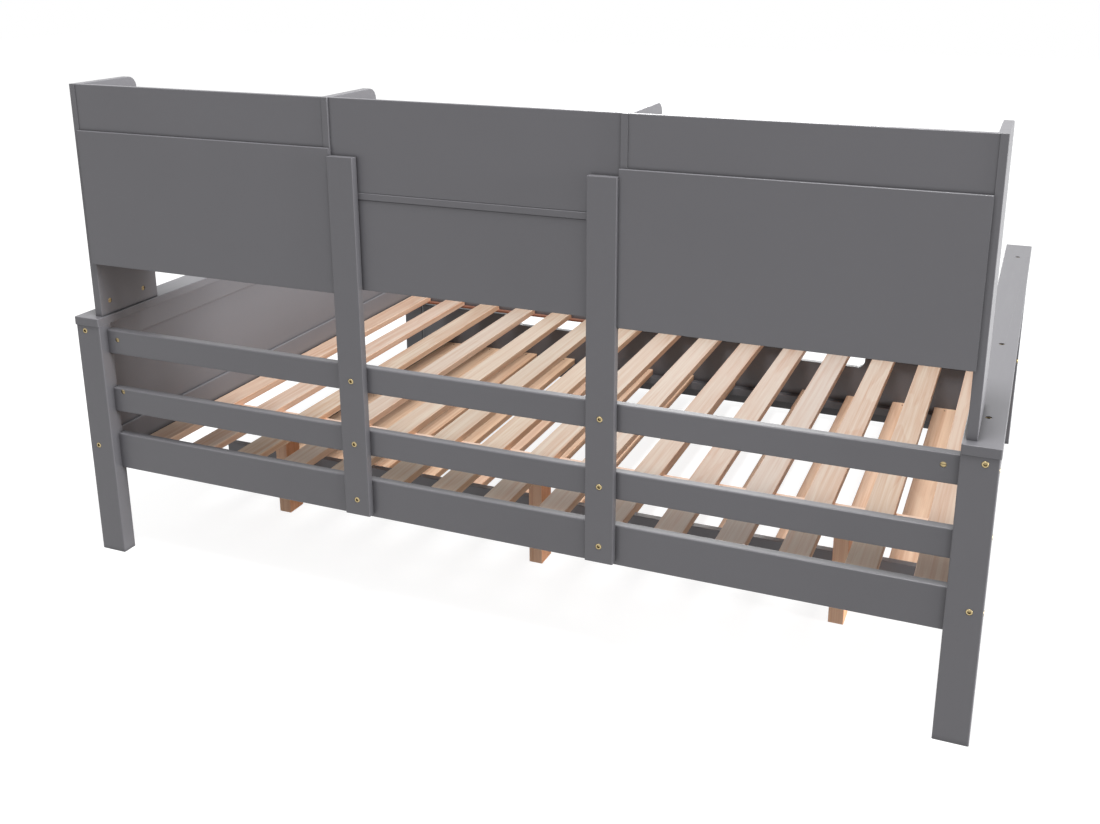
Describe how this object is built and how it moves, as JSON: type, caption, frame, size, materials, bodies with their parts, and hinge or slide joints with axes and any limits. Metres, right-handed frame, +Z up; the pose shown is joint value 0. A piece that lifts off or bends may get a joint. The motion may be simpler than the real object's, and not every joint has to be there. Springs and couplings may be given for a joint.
{
  "type": "trundle daybed",
  "caption": "Wooden daybed with a railed back, an open bookcase above it, a slatted deck and a slatted trundle bed that rolls out at the front.",
  "frame": {"origin": "on the floor, in the middle of the daybed's footprint", "axes": "+X along the bed, +Y to the rear, where the bookcase stands, +Z up; the trundle rolls out towards -Y"},
  "size_m": [2.14, 1.636, 1.187],
  "materials": {
    "gray_paint": "satin gray paint on wood and board",
    "pine": "planed pine",
    "trundle_pine": "planed pine, a little darker",
    "brass": "brass-plated steel",
    "zinc_steel": "zinc-plated",
    "black_plastic": "moulded nylon"
  },
  "bodies": {
    "daybed_frame": {"front_post_left": "gray_paint", "front_post_right": "gray_paint", "rear_post_left": "gray_paint", "rear_post_right": "gray_paint", "end_cap_left": "gray_paint", "end_cap_right": "gray_paint", "end_top_rail_left": "gray_paint", "end_top_rail_right": "gray_paint", "end_bottom_rail_left": "gray_paint", "end_bottom_rail_right": "gray_paint", "end_panel_left": "gray_paint", "end_panel_right": "gray_paint", "rear_upper_rail": "gray_paint", "rear_middle_rail": "gray_paint", "rear_lower_rail": "gray_paint", "front_side_rail": "gray_paint", "batten_left": "gray_paint", "batten_right": "gray_paint", "bookcase_side_left": "gray_paint", "bookcase_side_right": "gray_paint", "bookcase_divider_left": "gray_paint", "bookcase_divider_right": "gray_paint", "cubby_floor_left": "gray_paint", "cubby_floor_middle": "gray_paint", "cubby_floor_right": "gray_paint", "shelf_left": "gray_paint", "shelf_middle": "gray_paint", "shelf_right": "gray_paint", "back_panel_left": "gray_paint", "back_panel_middle": "gray_paint", "back_panel_right": "gray_paint", "top_strip_left": "gray_paint", "top_strip_right": "gray_paint", "top_panel_middle": "gray_paint", "front_slat_ledger": "pine", "rear_slat_ledger": "pine", "deck_slats": "pine", "support_beam": "pine", "support_leg_left": "pine", "support_leg_middle": "pine", "support_leg_right": "pine", "frame_bolts": "brass", "batten_bolts": "brass", "bookcase_bolts": "brass", "beam_bolts": "brass", "barrel_nuts": "brass", "cap_bolts": "brass"},
    "trundle": {"trundle_front_panel": "gray_paint", "trundle_rear_board": "gray_paint", "trundle_side_left": "gray_paint", "trundle_side_right": "gray_paint", "trundle_ledgers": "gray_paint", "caster_rails": "trundle_pine", "trundle_slats": "trundle_pine", "caster_brackets": "zinc_steel", "caster_axles": "zinc_steel"},
    "wheel_front_left": {"caster_wheel_front_left": "black_plastic"},
    "wheel_front_right": {"caster_wheel_front_right": "black_plastic"},
    "wheel_rear_left": {"caster_wheel_rear_left": "black_plastic"},
    "wheel_rear_right": {"caster_wheel_rear_right": "black_plastic"}
  },
  "joints": [
    {"name": "trundle_slide", "type": "slide", "parent": "daybed_frame", "child": "trundle", "axis": [0, -1, 0], "range_m": [0, 1]},
    {"name": "wheel_front_left_spin", "type": "hinge", "parent": "trundle", "child": "wheel_front_left", "pos_m": [-0.8835, -0.621, 0.02], "axis": [1, 0, 0], "continuous": true},
    {"name": "wheel_front_right_spin", "type": "hinge", "parent": "trundle", "child": "wheel_front_right", "pos_m": [0.8675, -0.621, 0.02], "axis": [1, 0, 0], "continuous": true},
    {"name": "wheel_rear_left_spin", "type": "hinge", "parent": "trundle", "child": "wheel_rear_left", "pos_m": [-0.8835, 0.22, 0.02], "axis": [1, 0, 0], "continuous": true},
    {"name": "wheel_rear_right_spin", "type": "hinge", "parent": "trundle", "child": "wheel_rear_right", "pos_m": [0.8675, 0.22, 0.02], "axis": [1, 0, 0], "continuous": true}
  ],
  "couplings": [
    {"joint": "wheel_front_left_spin", "follows": "trundle_slide", "rad_per_m": 50},
    {"joint": "wheel_front_right_spin", "follows": "trundle_slide", "rad_per_m": 50},
    {"joint": "wheel_rear_left_spin", "follows": "trundle_slide", "rad_per_m": 50},
    {"joint": "wheel_rear_right_spin", "follows": "trundle_slide", "rad_per_m": 50}
  ]
}
